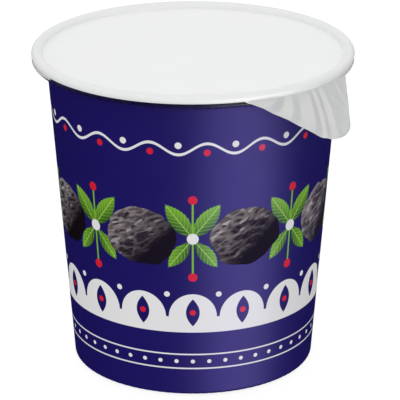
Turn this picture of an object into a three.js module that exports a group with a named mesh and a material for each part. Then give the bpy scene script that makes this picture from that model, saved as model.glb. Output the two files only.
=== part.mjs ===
// A sealed snack cup: a tapered plastic cup in a printed sleeve, closed by a peel-off foil lid
// with a folded pull tab, and part filled with pitted prunes.
//
// Millimetres, +Z up. The origin is the middle of the foot, on the table. The front of the cup
// faces -Y. Azimuths are measured round the cup from the front towards its right side, +X.

import * as THREE from "three";

// The whole cup
const CUP_HEIGHT = 96.5; // table to the crest of the foil over the rim
const LID_RADIUS = 47.5; // outside of the foil over the rim
const SLEEVE_TOP_RADIUS = 43.1; // outside of the sleeve just under the rim
const SLEEVE_BOTTOM_RADIUS = 35.9; // outside of the sleeve where it turns under the base
const LAID_GAP = 0.3; // room left between pieces that lie on each other
const ROUND_STEPS = 72; // flats in a full turn

// The cup's wall, foot and rim
const WALL = 0.7;
const CORNER = 2; // outside bend from the wall to the base
const SLEEVE_LIFT = 0.45; // table to the lowest part of the sleeve
const FOOT_OUTER = 33;
const FOOT_WIDTH = 2.6;
const BASE_RISE = 1.8; // table to the underside of the base inside the foot
const FLANGE_UNDERSIDE = CUP_HEIGHT - 3.2;
const UNDER_FLANGE_BEND = 0.8;
const LIP_BOTTOM = CUP_HEIGHT - 3.6; // the rim's outer edge reaches below its flange
const LIP_TURN = THREE.MathUtils.degToRad(41); // how far under the bead's widest line the lip starts
const BEAD_WALL = 0.75;
const BEAD_SLOT = 0.55; // width of the hollow inside the bead

// The printed sleeve
const FILM = 0.25;
const SLEEVE_TOP = FLANGE_UNDERSIDE - 1.1;
const LAP_ANGLE = 5; // degrees by which the sleeve's ends lie over each other at the back
const LAP_RAMP = 16; // degrees over which the outer end climbs
const LAP_CLIMB = FILM + 0.12;

// The foil lid
const FOIL = 0.25;
const MEMBRANE_DROP = 1.9; // crest of the rim down to the flat middle
const BEAD_RADIUS = 1.55; // outside of the foil where it is drawn round the rim's bead
const BEAD_MIDDLE = LID_RADIUS - BEAD_RADIUS;
const BEAD_HEIGHT = CUP_HEIGHT - BEAD_RADIUS;
const BEAD_STEPS = 4; // flats on each side of the bead's crest
const WRAP = THREE.MathUtils.degToRad(24); // how far the foil reaches under the bead's widest line
const SKIRT = 0.3; // straight part of the foil below that
const FOIL_STEPS = 84;
const TAB_CROWDING = 0.7; // how much closer the steps stand at the tab than on average

// The pull tab, a rounded corner left on the round blank and folded down
const TAB_AZIMUTH = 42.8;
const TAB_APEX = 71.8; // where the tab's two straight sides would meet
const TAB_HALF_ANGLE = THREE.MathUtils.degToRad(35); // between each side and the middle line
const TAB_TIP_RADIUS = 9.2;
const TAB_FOLD = THREE.MathUtils.degToRad(38.5); // how far it is folded down from level
const FULL_FOLD = 1.2; // length of foil past the skirt at which the tab's own fold is reached
const TAB_ROWS = 6;

// The tab's folds: azimuth from its middle where they leave the rim and where they reach the
// tab's edge, in degrees, and height
const FOLDS = [
  [-25.5, -26, 0],
  [-19, -22, 0.15],
  [-13, -18.5, 0.45],
  [-9.6, -16, -0.45],
  [-7.2, -12.5, 0.35],
  [-4.4, -10.5, -0.2],
  [0.2, -7, 0.35],
  [2.2, -5.2, -0.4],
  [3.8, -3.9, 0.45],
  [6, -1.8, -0.25],
  [7.4, 0.3, 0.45],
  [9.4, 2.8, -0.25],
  [13.5, 10, 0.05],
  [16.8, 14.8, -0.1],
  [18.2, 16.4, 0.15],
  [25.5, 26, 0],
];
const EDGE_STRENGTH = 0.3; // how much of its height a fold keeps at the tab's edge

// The prunes
const PRUNE_COUNT = 18;
const PRUNE_SEMI_AXES = new THREE.Vector3(17.8, 12.8, 9);
const PRUNE_SIZE_SPREAD = 0.07;
const PRUNE_DETAIL = 2;
const PRUNE_TILT = 0.6; // the most that one leans, in radians
const PILE_CELL = 1.5; // spacing of the grid that records how high the pile has grown
const PILE_COLUMNS = 1000; // more than the cells across the grid
const PILE_REACH = 28; // how far from the axis a prune's middle may lie
const TURNS_TRIED = 40;
const PLACES_TRIED = 40; // for each turn, of which the lowest of all is taken
const PILE_SEED = 13;

const navyFilm = new THREE.MeshStandardMaterial({ color: 0x1c1360, roughness: 0.42, metalness: 0 });
const clearPlastic = new THREE.MeshStandardMaterial({ color: 0xb4b2ae, roughness: 0.35, metalness: 0 });
const whiteFoil = new THREE.MeshStandardMaterial({ color: 0xe6e7e7, roughness: 0.4, metalness: 0.1 });
const darkFruit = new THREE.MeshStandardMaterial({ color: 0x17100f, roughness: 0.5, metalness: 0 });

// Straight taper of the sleeve's outside, at a height
function sleeveRadius(height) {
  const low = SLEEVE_LIFT + CORNER;
  const share = (height - low) / (FLANGE_UNDERSIDE - low);
  return THREE.MathUtils.lerp(SLEEVE_BOTTOM_RADIUS, SLEEVE_TOP_RADIUS, share);
}

function wallRadius(height) {
  return sleeveRadius(height) - FILM - LAID_GAP;
}

function innerRadius(height) {
  return wallRadius(height) - WALL;
}

// Points along a quarter or less of a circle, from one angle to another
function arc(middleX, middleY, radius, from, to, steps) {
  const points = [];
  for (let step = 0; step <= steps; step += 1) {
    const angle = THREE.MathUtils.lerp(from, to, step / steps);
    points.push(new THREE.Vector2(middleX + radius * Math.cos(angle), middleY + radius * Math.sin(angle)));
  }
  return points;
}

const at = (radius, height) => new THREE.Vector2(radius, height);

// A turned body with its axis on Z. The first column of points faces the front.
function turned(profile, steps, start = 0, length = 2 * Math.PI) {
  const geometry = new THREE.LatheGeometry(profile, steps, start, length);
  geometry.rotateX(Math.PI / 2);
  return geometry;
}

function bareGeometry(positions, triangles) {
  const geometry = new THREE.BufferGeometry();
  geometry.setAttribute("position", new THREE.Float32BufferAttribute(positions, 3));
  geometry.setIndex(triangles);
  geometry.computeVertexNormals();
  return geometry;
}

// The cup: foot ring, base, tapered wall and a flange with a round hollow bead at its edge
function makeCup() {
  const cornerBend = CORNER - FILM - LAID_GAP;
  const cornerX = SLEEVE_BOTTOM_RADIUS - CORNER;
  const cornerZ = SLEEVE_LIFT + CORNER;
  const footInner = FOOT_OUTER - FOOT_WIDTH;
  const floor = BASE_RISE + WALL;
  const foilStack = FOIL + LAID_GAP;
  const ledge = CUP_HEIGHT - MEMBRANE_DROP - foilStack;
  const tube = BEAD_RADIUS - foilStack;
  const lip = BEAD_MIDDLE + tube * Math.cos(LIP_TURN);
  const slotTop = BEAD_HEIGHT + tube - BEAD_WALL;
  const neck = wallRadius(FLANGE_UNDERSIDE);
  const profile = [
    at(0, BASE_RISE),
    at(footInner - 0.5, BASE_RISE),
    at(footInner, 0),
    at(FOOT_OUTER, 0),
    at(FOOT_OUTER + 0.2, cornerZ - cornerBend),
    ...arc(cornerX, cornerZ, cornerBend, -Math.PI / 2, 0, 4),
    at(wallRadius(FLANGE_UNDERSIDE - UNDER_FLANGE_BEND), FLANGE_UNDERSIDE - UNDER_FLANGE_BEND),
    at(neck + UNDER_FLANGE_BEND, FLANGE_UNDERSIDE),
    at(lip - BEAD_WALL - BEAD_SLOT, FLANGE_UNDERSIDE),
    at(lip - BEAD_WALL - BEAD_SLOT, slotTop),
    at(lip - BEAD_WALL, slotTop),
    at(lip - BEAD_WALL, LIP_BOTTOM),
    at(lip, LIP_BOTTOM),
    ...arc(BEAD_MIDDLE, BEAD_HEIGHT, tube, -LIP_TURN, Math.PI, 2 * BEAD_STEPS),
    at(BEAD_MIDDLE - tube, ledge),
    at(innerRadius(ledge) + 0.3, ledge),
    at(innerRadius(ledge - 0.4), ledge - 0.4),
    at(innerRadius(floor + 2.5), floor + 2.5),
    at(innerRadius(floor) - 0.8, floor + 0.6),
    at(FOOT_OUTER - 0.3, floor - 0.5),
    at(FOOT_OUTER - WALL, WALL),
    at(footInner + WALL, WALL),
    at(footInner - 0.6, floor),
    at(0, floor),
  ];
  return turned(profile, ROUND_STEPS);
}

// The sleeve: a film strip round the wall that turns under the base. Its outer end lies over
// its inner end along one lapped seam at the back.
function makeSleeve() {
  const cornerX = SLEEVE_BOTTOM_RADIUS - CORNER;
  const cornerZ = SLEEVE_LIFT + CORNER;
  const tuck = FOOT_OUTER + 0.9;
  const outside = [
    at(tuck, SLEEVE_LIFT),
    ...arc(cornerX, cornerZ, CORNER, -Math.PI / 2, 0, 4),
    at(sleeveRadius(SLEEVE_TOP), SLEEVE_TOP),
  ];
  const inside = [
    at(sleeveRadius(SLEEVE_TOP) - FILM, SLEEVE_TOP),
    ...arc(cornerX, cornerZ, CORNER - FILM, 0, -Math.PI / 2, 4),
    at(tuck, SLEEVE_LIFT + FILM),
  ];
  const profile = [...outside, ...inside];
  const columnSize = profile.length + 1;
  const lap = THREE.MathUtils.degToRad(LAP_ANGLE);
  const ramp = THREE.MathUtils.degToRad(LAP_RAMP);
  const start = Math.PI;
  const length = 2 * Math.PI + lap;
  const geometry = turned([...profile, profile[0]], ROUND_STEPS, start, length);
  const position = geometry.getAttribute("position");
  for (let index = 0; index < position.count; index += 1) {
    const turn = (Math.floor(index / columnSize) / ROUND_STEPS) * length;
    const climb = THREE.MathUtils.smoothstep(turn, length - lap - ramp, length - lap) * LAP_CLIMB;
    const radius = Math.hypot(position.getX(index), position.getY(index));
    const stretch = (radius + climb) / radius;
    position.setX(index, position.getX(index) * stretch);
    position.setY(index, position.getY(index) * stretch);
  }

  // The lathe leaves both ends of the strip open, so each gets a face of its own
  const triangles = Array.from(geometry.getIndex().array);
  const lastColumn = ROUND_STEPS * columnSize;
  for (const [a, b, c] of THREE.ShapeUtils.triangulateShape(profile, [])) {
    triangles.push(a, b, c);
    triangles.push(lastColumn + a, lastColumn + c, lastColumn + b);
  }
  return bareGeometry(position.array, triangles);
}

// How far the blank reaches from the middle of the lid, at an angle from the tab's middle line
function blankReach(angle) {
  const turn = Math.abs(angle);
  const tipMiddle = TAB_APEX - TAB_TIP_RADIUS / Math.sin(TAB_HALF_ANGLE);
  const touch = Math.atan2(
    TAB_TIP_RADIUS * Math.cos(TAB_HALF_ANGLE),
    tipMiddle + TAB_TIP_RADIUS * Math.sin(TAB_HALF_ANGLE),
  );
  if (turn < touch) {
    const across = tipMiddle * Math.sin(turn);
    return tipMiddle * Math.cos(turn) + Math.sqrt(TAB_TIP_RADIUS ** 2 - across ** 2);
  }
  if (turn < Math.PI / 2 - TAB_HALF_ANGLE) {
    return (TAB_APEX * Math.sin(TAB_HALF_ANGLE)) / Math.sin(TAB_HALF_ANGLE + turn);
  }
  return 0;
}

// How far the folds lift the tab, at an angle and at a share of the way from rim to edge
function foldLift(angle, share) {
  const degrees = THREE.MathUtils.radToDeg(angle);
  const rise = Math.sin(Math.min(share * 3, 1) * (Math.PI / 2));
  const strength = rise * THREE.MathUtils.lerp(1, EDGE_STRENGTH, share ** 2);
  for (let index = 1; index < FOLDS.length; index += 1) {
    const [rimBefore, edgeBefore, heightBefore] = FOLDS[index - 1];
    const [rimAfter, edgeAfter, heightAfter] = FOLDS[index];
    const before = THREE.MathUtils.lerp(rimBefore, edgeBefore, share);
    const after = THREE.MathUtils.lerp(rimAfter, edgeAfter, share);
    if (degrees >= before && degrees < after) {
      const way = (degrees - before) / (after - before);
      return THREE.MathUtils.lerp(heightBefore, heightAfter, way) * strength;
    }
  }
  return 0;
}

// One line of the foil from the middle of the lid to its edge: the top face's points, and at each
// the step that leads out of the top face, as long as the foil is thick where the step is 1
function foilLine(angle) {
  const membrane = CUP_HEIGHT - MEMBRANE_DROP;
  const ringInside = BEAD_MIDDLE - BEAD_RADIUS;
  const hang = Math.max(SKIRT, blankReach(angle) - LID_RADIUS);
  const spread = THREE.MathUtils.smoothstep(hang, SKIRT, SKIRT + FULL_FOLD);
  const hangFacing = THREE.MathUtils.lerp(-WRAP, Math.PI / 2 - TAB_FOLD, spread);
  const up = at(0, 1);
  const line = [
    { point: at(0, membrane), out: up },
    { point: at(ringInside * 0.55, membrane), out: up },
    { point: at(ringInside - 0.6, membrane), out: up },
    { point: at(ringInside, membrane), out: at(-1, 1) },
  ];
  for (const [from, to] of [[Math.PI, Math.PI / 2], [Math.PI / 2, -WRAP]]) {
    for (let step = 0; step < BEAD_STEPS; step += 1) {
      const facing = THREE.MathUtils.lerp(from, to, step / BEAD_STEPS);
      const out = at(Math.cos(facing), Math.sin(facing));
      line.push({ point: at(BEAD_MIDDLE, BEAD_HEIGHT).addScaledVector(out, BEAD_RADIUS), out });
    }
  }
  const turn = (hangFacing + WRAP) / 2;
  const mitre = at(Math.cos(turn - WRAP), Math.sin(turn - WRAP)).divideScalar(Math.cos(turn));
  const rim = at(Math.cos(-WRAP), Math.sin(-WRAP)).multiplyScalar(BEAD_RADIUS);
  rim.add(at(BEAD_MIDDLE, BEAD_HEIGHT));
  line.push({ point: rim, out: mitre });
  const out = at(Math.cos(hangFacing), Math.sin(hangFacing));
  const down = at(out.y, -out.x);
  for (let row = 1; row <= TAB_ROWS; row += 1) {
    const share = row / TAB_ROWS;
    const point = rim.clone().addScaledVector(down, hang * share);
    point.addScaledVector(out, foldLift(angle, share) * spread);
    line.push({ point, out });
  }
  return line;
}

// The foil lid: a turned sheet whose columns are then moved onto the folded lines above
function makeFoilLid() {
  const rows = foilLine(Math.PI).length;
  const flat = [];
  for (let row = 0; row < rows; row += 1) {
    flat.push(at(row, 0));
  }
  for (let row = rows - 1; row >= 0; row -= 1) {
    flat.push(at(row, -1));
  }
  const geometry = turned([...flat].reverse(), FOIL_STEPS);
  const position = geometry.getAttribute("position");
  const columnSize = flat.length;
  const tab = THREE.MathUtils.degToRad(TAB_AZIMUTH);
  for (let column = 0; column <= FOIL_STEPS; column += 1) {
    const even = ((column % FOIL_STEPS) / FOIL_STEPS) * 2 * Math.PI - Math.PI;
    const angle = even - TAB_CROWDING * Math.sin(even);
    const line = foilLine(angle);
    for (let slot = 0; slot < columnSize; slot += 1) {
      const order = columnSize - 1 - slot;
      const onTop = order < rows;
      const { point, out } = line[onTop ? order : columnSize - 1 - order];
      const depth = onTop ? 0 : FOIL;
      const radius = Math.max(0, point.x - out.x * depth);
      const height = point.y - out.y * depth;
      const azimuth = tab + angle;
      const x = radius * Math.sin(azimuth);
      const y = -radius * Math.cos(azimuth);
      position.setXYZ(column * columnSize + slot, x, y, height);
    }
  }
  geometry.computeVertexNormals();
  return geometry;
}

// Repeatable random numbers from 0 to 1
function seededRandom(seed) {
  let state = seed;
  return () => {
    state = (state * 1664525 + 1013904223) % 4294967296;
    return state / 4294967296;
  };
}

// How deep the skin is drawn in, as a share of the prune's size, in a direction from its middle.
// The long folds run from end to end, and the end at +X has the dimple that the stone left by.
function skinDepth(direction, phase) {
  const round = Math.atan2(direction.z, direction.y);
  const wander = 1.1 * Math.sin(2.3 * direction.x + phase) + 0.6 * Math.sin(5 * direction.x - phase);
  const folds = 0.5 + 0.5 * Math.sin(5 * round + wander + phase);
  const crossFolds = 0.5 + 0.5 * Math.sin(7 * direction.x + 2 * Math.sin(2 * round + phase));
  const belt = 1 - direction.x ** 4;
  const dimple = Math.exp(-(((1 - direction.x) / 0.07) ** 2));
  return belt * (0.09 * folds + 0.05 * crossFolds) + 0.22 * dimple;
}

function makePrune(semiAxes, turn, place, phase) {
  const geometry = new THREE.IcosahedronGeometry(1, PRUNE_DETAIL);
  const position = geometry.getAttribute("position");
  const vertex = new THREE.Vector3();
  for (let index = 0; index < position.count; index += 1) {
    vertex.fromBufferAttribute(position, index).normalize();
    vertex.multiplyScalar(1 - skinDepth(vertex, phase));
    vertex.multiply(semiAxes);
    position.setXYZ(index, vertex.x, vertex.y, vertex.z);
  }
  geometry.computeVertexNormals();
  const mesh = new THREE.Mesh(geometry, darkFruit);
  mesh.rotation.copy(turn);
  mesh.position.copy(place);
  return mesh;
}

// The grid cells under a tilted ellipsoid, each with how far its lower and its upper skin are
// from the height of its middle
function footprint(semiAxes, turn) {
  const back = new THREE.Matrix4().makeRotationFromEuler(turn).transpose();
  const along = new THREE.Vector3(0, 0, 1).applyMatrix4(back).divide(semiAxes);
  const a = along.dot(along);
  const reach = Math.ceil(semiAxes.x / PILE_CELL);
  const cells = [];
  for (let i = -reach; i <= reach; i += 1) {
    for (let j = -reach; j <= reach; j += 1) {
      const from = new THREE.Vector3(i * PILE_CELL, j * PILE_CELL, 0).applyMatrix4(back).divide(semiAxes);
      const b = from.dot(along);
      const root = b * b - a * (from.dot(from) - 1);
      if (root > 0) {
        cells.push({ i, j, low: (-b - Math.sqrt(root)) / a, high: (-b + Math.sqrt(root)) / a });
      }
    }
  }
  return cells;
}

// Whether an ellipsoid keeps clear of the cup's tapered wall
function clearsWall(semiAxes, turn, place) {
  const skin = new THREE.IcosahedronGeometry(1, 2).getAttribute("position");
  const point = new THREE.Vector3();
  for (let index = 0; index < skin.count; index += 1) {
    point.fromBufferAttribute(skin, index).multiply(semiAxes).applyEuler(turn).add(place);
    if (Math.hypot(point.x, point.y) > innerRadius(point.z) - 2 * LAID_GAP) {
      return false;
    }
  }
  return true;
}

// The lowest place that one prune can drop to, out of many turns and many places for each
function findPlace(semiAxes, heightAt, random) {
  const between = (low, high) => low + (high - low) * random();
  let best = null;
  for (let turnTrial = 0; turnTrial < TURNS_TRIED; turnTrial += 1) {
    const tilt = between(0, PRUNE_TILT);
    const turn = new THREE.Euler(between(-tilt, tilt), between(-tilt, tilt), between(0, 2 * Math.PI));
    const cells = footprint(semiAxes, turn);
    for (let placeTrial = 0; placeTrial < PLACES_TRIED; placeTrial += 1) {
      const away = PILE_REACH * Math.sqrt(random());
      const bearing = between(0, 2 * Math.PI);
      const column = Math.round((away * Math.cos(bearing)) / PILE_CELL);
      const row = Math.round((away * Math.sin(bearing)) / PILE_CELL);
      let rest = 0;
      for (const { i, j, low } of cells) {
        rest = Math.max(rest, heightAt(column + i, row + j) - low);
      }
      const place = new THREE.Vector3(column * PILE_CELL, row * PILE_CELL, rest + LAID_GAP);
      if ((!best || place.z < best.place.z) && clearsWall(semiAxes, turn, place)) {
        best = { place, turn, cells, column, row };
      }
    }
  }
  return best;
}

// The prunes lie where they would fall: each drops upright onto what lies below it
function settlePrunes() {
  const random = seededRandom(PILE_SEED);
  const grown = new Map();
  const heightAt = (column, row) => grown.get(column * PILE_COLUMNS + row) ?? BASE_RISE + WALL;
  const prunes = [];
  for (let count = 0; count < PRUNE_COUNT; count += 1) {
    const size = 1 + PRUNE_SIZE_SPREAD * (2 * random() - 1);
    const semiAxes = PRUNE_SEMI_AXES.clone().multiplyScalar(size);
    const { place, turn, cells, column, row } = findPlace(semiAxes, heightAt, random);
    for (const { i, j, high } of cells) {
      const key = (column + i) * PILE_COLUMNS + row + j;
      grown.set(key, Math.max(heightAt(column + i, row + j), place.z + high));
    }
    prunes.push(makePrune(semiAxes, turn, place, 2 * Math.PI * random()));
  }
  return prunes;
}

function named(name, mesh) {
  mesh.name = name;
  return mesh;
}

const snackCup = new THREE.Group();
snackCup.add(named("cup", new THREE.Mesh(makeCup(), clearPlastic)));
snackCup.add(named("sleeve", new THREE.Mesh(makeSleeve(), navyFilm)));
snackCup.add(named("lid_foil", new THREE.Mesh(makeFoilLid(), whiteFoil)));

const filling = new THREE.Group();
settlePrunes().forEach((prune, index) => {
  filling.add(named(`prune_${String(index + 1).padStart(2, "0")}`, prune));
});
snackCup.add(filling);

export default snackCup;
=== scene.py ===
# %% [markdown]
# # A sealed snack cup, dressed for the camera
#
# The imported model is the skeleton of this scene: a tapered plastic cup, a printed sleeve, a foil
# lid with a folded pull tab, and prunes inside. Everything below sits on that skeleton, so the
# first thing to do is to load it and to note how much room it takes.

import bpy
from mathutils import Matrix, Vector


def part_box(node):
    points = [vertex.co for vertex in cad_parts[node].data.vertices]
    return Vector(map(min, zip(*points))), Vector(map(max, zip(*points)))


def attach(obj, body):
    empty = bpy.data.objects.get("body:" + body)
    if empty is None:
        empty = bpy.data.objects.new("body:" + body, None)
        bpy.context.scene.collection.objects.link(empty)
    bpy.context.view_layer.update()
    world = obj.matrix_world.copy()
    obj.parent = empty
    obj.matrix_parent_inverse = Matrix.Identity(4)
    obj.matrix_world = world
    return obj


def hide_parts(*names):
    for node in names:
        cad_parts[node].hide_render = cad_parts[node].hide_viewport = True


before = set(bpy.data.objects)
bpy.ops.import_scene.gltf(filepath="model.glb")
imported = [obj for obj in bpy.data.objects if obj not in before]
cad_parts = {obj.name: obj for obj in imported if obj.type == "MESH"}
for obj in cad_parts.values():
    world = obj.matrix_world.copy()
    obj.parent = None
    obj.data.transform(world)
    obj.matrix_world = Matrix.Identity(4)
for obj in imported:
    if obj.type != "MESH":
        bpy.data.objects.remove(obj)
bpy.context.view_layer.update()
print("nodes in the frame:", len(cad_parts))

# %% [markdown]
# ## Libraries and units
#
# `bpy` is Blender itself, `numpy` works on many points at once, `Vector` is Blender's own arrow
# in space, and `namedtuple` names a few values that travel together. Blender measures in metres
# and a cup is measured in millimetres, so a size is written as a number times `MM`.

# %% Libraries and units
import math
from collections import namedtuple

import bpy
import numpy as np
from mathutils import Vector

MM = 0.001
scene = bpy.context.scene
print("Blender", bpy.app.version_string)

# %% [markdown]
# ## The camera comes first
#
# A long lens from about 0.9 m away keeps the cup's sides nearly straight, as product photographs
# do. The camera looks down on the lid, a little to the side of the cup's axis. Setting it before
# any modelling means that every later render can be laid over the photograph.

# %% Camera
CAMERA_ELEVATION = math.radians(20.46)
CAMERA_DISTANCE = 868.3 * MM
AIM = Vector((2.07, 0.0, 48.16)) * MM
LENS = 261.0
SENSOR = 36.0

ahead = Vector((0, math.cos(CAMERA_ELEVATION), -math.sin(CAMERA_ELEVATION)))
camera = bpy.data.objects.new("camera", bpy.data.cameras.new("camera"))
scene.collection.objects.link(camera)
camera.data.lens = LENS
camera.data.sensor_width = SENSOR
camera.data.clip_start = 0.05
camera.data.clip_end = 20
camera.location = AIM - ahead * CAMERA_DISTANCE
camera.rotation_mode = "QUATERNION"
camera.rotation_quaternion = ahead.to_track_quat("-Z", "Y")
scene.camera = camera
print("camera at", [round(value, 3) for value in camera.location])

# %% [markdown]
# ## One small class for all node maths
#
# Node trees are quick to read as formulas and slow to read as nodes. `Wire` stands for the value
# that leaves a socket. Adding or multiplying two wires adds a Math node, so a pattern can be
# written the way it would be on paper. `Bench` adds every other kind of node, the same way for
# materials and for Geometry Nodes.

# %% Wires and the bench
class Wire:
    """The value that leaves one socket. Python's operators on it add Math nodes."""

    def __init__(self, bench, socket):
        self.bench = bench
        self.socket = socket

    def __add__(self, other):
        return self.bench.math("ADD", self, other)

    def __sub__(self, other):
        return self.bench.math("SUBTRACT", self, other)

    def __rsub__(self, other):
        return self.bench.math("SUBTRACT", other, self)

    def __mul__(self, other):
        return self.bench.math("MULTIPLY", self, other)

    def __truediv__(self, other):
        return self.bench.math("DIVIDE", self, other)

    def __rtruediv__(self, other):
        return self.bench.math("DIVIDE", other, self)

    def __abs__(self):
        return self.bench.math("ABSOLUTE", self)

    __radd__ = __add__
    __rmul__ = __mul__


class Bench:
    """Adds nodes to one tree."""

    def __init__(self, tree):
        self.tree = tree

    def feed(self, node, inputs):
        """Links the wires to a node's sockets, and sets plain values on them."""
        for key, value in inputs.items():
            if isinstance(value, Wire):
                self.tree.links.new(value.socket, node.inputs[key])
            else:
                node.inputs[key].default_value = value

    def node(self, kind, settings=None, inputs=None, output=0):
        node = self.tree.nodes.new(kind)
        for name, value in (settings or {}).items():
            setattr(node, name, value)
        self.feed(node, inputs or {})
        return Wire(self, node.outputs[output])

    def math(self, operation, *values):
        return self.node("ShaderNodeMath", {"operation": operation}, dict(enumerate(values)))

    def clamped(self, value):
        return self.node("ShaderNodeClamp", None, {"Value": value})

    def vector(self, x, y, z):
        return self.node("ShaderNodeCombineXYZ", None, {0: x, 1: y, 2: z})

    def parts(self, vector):
        split = self.node("ShaderNodeSeparateXYZ", None, {0: vector})
        return [Wire(self, output) for output in split.socket.node.outputs]

    def mix(self, factor, first, second):
        """From one colour to another. A plain tuple is a colour."""
        inputs = {0: factor, 6: first, 7: second}
        settings = {"data_type": "RGBA", "clamp_factor": True}
        return self.node("ShaderNodeMix", settings, inputs, output=2)

    def scaled(self, vector, factor):
        return self.node("ShaderNodeVectorMath", {"operation": "SCALE"}, {0: vector, "Scale": factor})

    def noise(self, vector, size, detail):
        """Noise from 0 to 1, with blobs about that large in the vector's own unit."""
        inputs = {"Vector": vector, "Scale": 1.0 / size, "Detail": detail}
        return self.node("ShaderNodeTexNoise", None, inputs)

    def bump(self, height, distance):
        return self.node("ShaderNodeBump", None, {"Height": height, "Distance": distance})

    def stored(self, name):
        """A number that is stored on the piece's mesh under that name."""
        return self.node("ShaderNodeAttribute", {"attribute_name": name}, output="Fac")


def new_finish(name):
    """A material with one Principled shader, and the bench to add its pattern with."""
    material = bpy.data.materials.new(name)
    material.use_nodes = True
    tree = material.node_tree
    tree.nodes.clear()
    shader = tree.nodes.new("ShaderNodeBsdfPrincipled")
    output = tree.nodes.new("ShaderNodeOutputMaterial")
    tree.links.new(shader.outputs["BSDF"], output.inputs["Surface"])
    bench = Bench(tree)
    place = bench.node("ShaderNodeTexCoord", output="Object")
    return material, bench, shader, place


print("node maths ready")

# %% [markdown]
# ## Sizes
#
# The same driving dimensions as the solids, in metres. A few are closer to the real cup here: the
# foil is thinner, the film reaches higher under the rim, and the corner at the bottom is crisper.
# The solids are made of flat facets, which need more room. The height of the lid's crest is read
# back from the frame, as a check that both descriptions are of the same cup.

# %% Sizes
CUP_HEIGHT = 96.5 * MM
LID_RADIUS = 47.5 * MM
SLEEVE_TOP_RADIUS = 43.1 * MM
SLEEVE_BOTTOM_RADIUS = 35.9 * MM
LAID_GAP = 0.3 * MM
FILM = 0.25 * MM
FOIL = 0.16 * MM
SEAL_GAP = 0.06 * MM
WALL = 0.7 * MM
CORNER = 1.2 * MM
SLEEVE_LIFT = 0.45 * MM
FOOT_OUTER = 33.0 * MM
FOOT_WIDTH = 2.6 * MM
BASE_RISE = 1.8 * MM
FLANGE_UNDERSIDE = CUP_HEIGHT - 3.2 * MM
LIP_BOTTOM = CUP_HEIGHT - 3.6 * MM
SLEEVE_TOP = FLANGE_UNDERSIDE - 0.6 * MM
MEMBRANE_DROP = 1.9 * MM
BEAD_RADIUS = 1.55 * MM
BEAD_MIDDLE = (LID_RADIUS - BEAD_RADIUS, CUP_HEIGHT - BEAD_RADIUS)
CORNER_MIDDLE = (SLEEVE_BOTTOM_RADIUS - CORNER, SLEEVE_LIFT + CORNER)
WRAP_DEGREES = 24.0

lid_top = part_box("lid_foil")[1].z
print("lid's crest in the frame, mm:", round(lid_top / MM, 2), "here:", CUP_HEIGHT / MM)


def sleeve_radius(height):
    """The outside of the sleeve at a height."""
    low = CORNER_MIDDLE[1]
    share = (height - low) / (FLANGE_UNDERSIDE - low)
    return SLEEVE_BOTTOM_RADIUS + share * (SLEEVE_TOP_RADIUS - SLEEVE_BOTTOM_RADIUS)


def wall_radius(height):
    return sleeve_radius(height) - FILM - LAID_GAP


def arc(middle, radius, start, end, steps):
    """Points along an arc in the plane of radius and height. Angles are in degrees."""
    turns = [math.radians(start + (end - start) * step / steps) for step in range(steps + 1)]
    return [(middle[0] + radius * math.cos(turn), middle[1] + radius * math.sin(turn)) for turn in turns]


# %% [markdown]
# ## Running a Geometry Nodes tree
#
# A Geometry Nodes tree is a recipe with named inputs. Here it is built in Python and given to a
# piece as a modifier with its sizes filled in. What it makes is then kept as a plain mesh, and
# the modifier goes, so that nothing is left to be worked out later.

# %% Helpers for trees
def new_tree(name, counts, sizes, arrows=()):
    """A Geometry Nodes tree with a geometry in and out, and named inputs of three kinds."""
    tree = bpy.data.node_groups.new(name, "GeometryNodeTree")
    tree.interface.new_socket(name="Geometry", in_out="OUTPUT", socket_type="NodeSocketGeometry")
    kinds = {"Geometry": ["Geometry"], "Int": counts, "Float": sizes, "Vector": arrows}
    for kind, labels in kinds.items():
        for label in labels:
            tree.interface.new_socket(name=label, in_out="INPUT", socket_type=f"NodeSocket{kind}")
    source = tree.nodes.new("NodeGroupInput")
    given = {output.name: Wire(Bench(tree), output) for output in source.outputs if output.name}
    return tree, Bench(tree), given


def end_tree(bench, geometry, material):
    """Ends the tree as the export needs it: no instances, and a material set."""
    real = bench.node("GeometryNodeRealizeInstances", None, {0: geometry})
    painted = bench.node("GeometryNodeSetMaterial", None, {"Geometry": real, "Material": material})
    output = bench.tree.nodes.new("NodeGroupOutput")
    bench.feed(output, {0: painted})


def press_in(bench, geometry, depth):
    """Moves each point of a skin against its normal, by a depth."""
    offset = bench.scaled(bench.node("GeometryNodeInputNormal"), depth * -1)
    return bench.node("GeometryNodeSetPosition", None, {"Geometry": geometry, "Offset": offset})


def new_piece(name, points, faces=()):
    mesh = bpy.data.meshes.new(name)
    mesh.from_pydata(points, (), faces)
    piece = bpy.data.objects.new(name, mesh)
    scene.collection.objects.link(piece)
    return piece


def bake_modifiers(piece):
    """Keeps what the piece's modifiers make as its own plain mesh."""
    depsgraph = bpy.context.evaluated_depsgraph_get()
    made = bpy.data.meshes.new_from_object(piece.evaluated_get(depsgraph))
    piece.modifiers.clear()
    piece.data = made
    return piece


def run_tree(piece, tree, values):
    """Applies a tree to a piece and keeps the result as a plain mesh."""
    modifier = piece.modifiers.new(tree.name, "NODES")
    modifier.node_group = tree
    for item in tree.interface.items_tree:
        if item.in_out == "INPUT" and item.name in values:
            modifier[item.identifier] = values[item.name]
    return bake_modifiers(piece)


print("helpers for trees ready")

# %% [markdown]
# ## A tree that turns a profile
#
# The cup and its sleeve are both turned shapes: a line drawn in the plane of radius and height,
# carried round the axis. Blender's Screw modifier or the Spin tool would do it. Geometry Nodes
# does it with named sizes and with one thing more that the sleeve needs: near the end of the turn
# the radius can climb, so that the film's outer end lies over its inner end.
#
# The tree makes a flat grid, one column for each step of the turn and one row for each point of
# the profile, then moves each point of the grid to where its profile point has been carried.

# %% The turning tree
WELD_DISTANCE = 0.004 * MM


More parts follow.
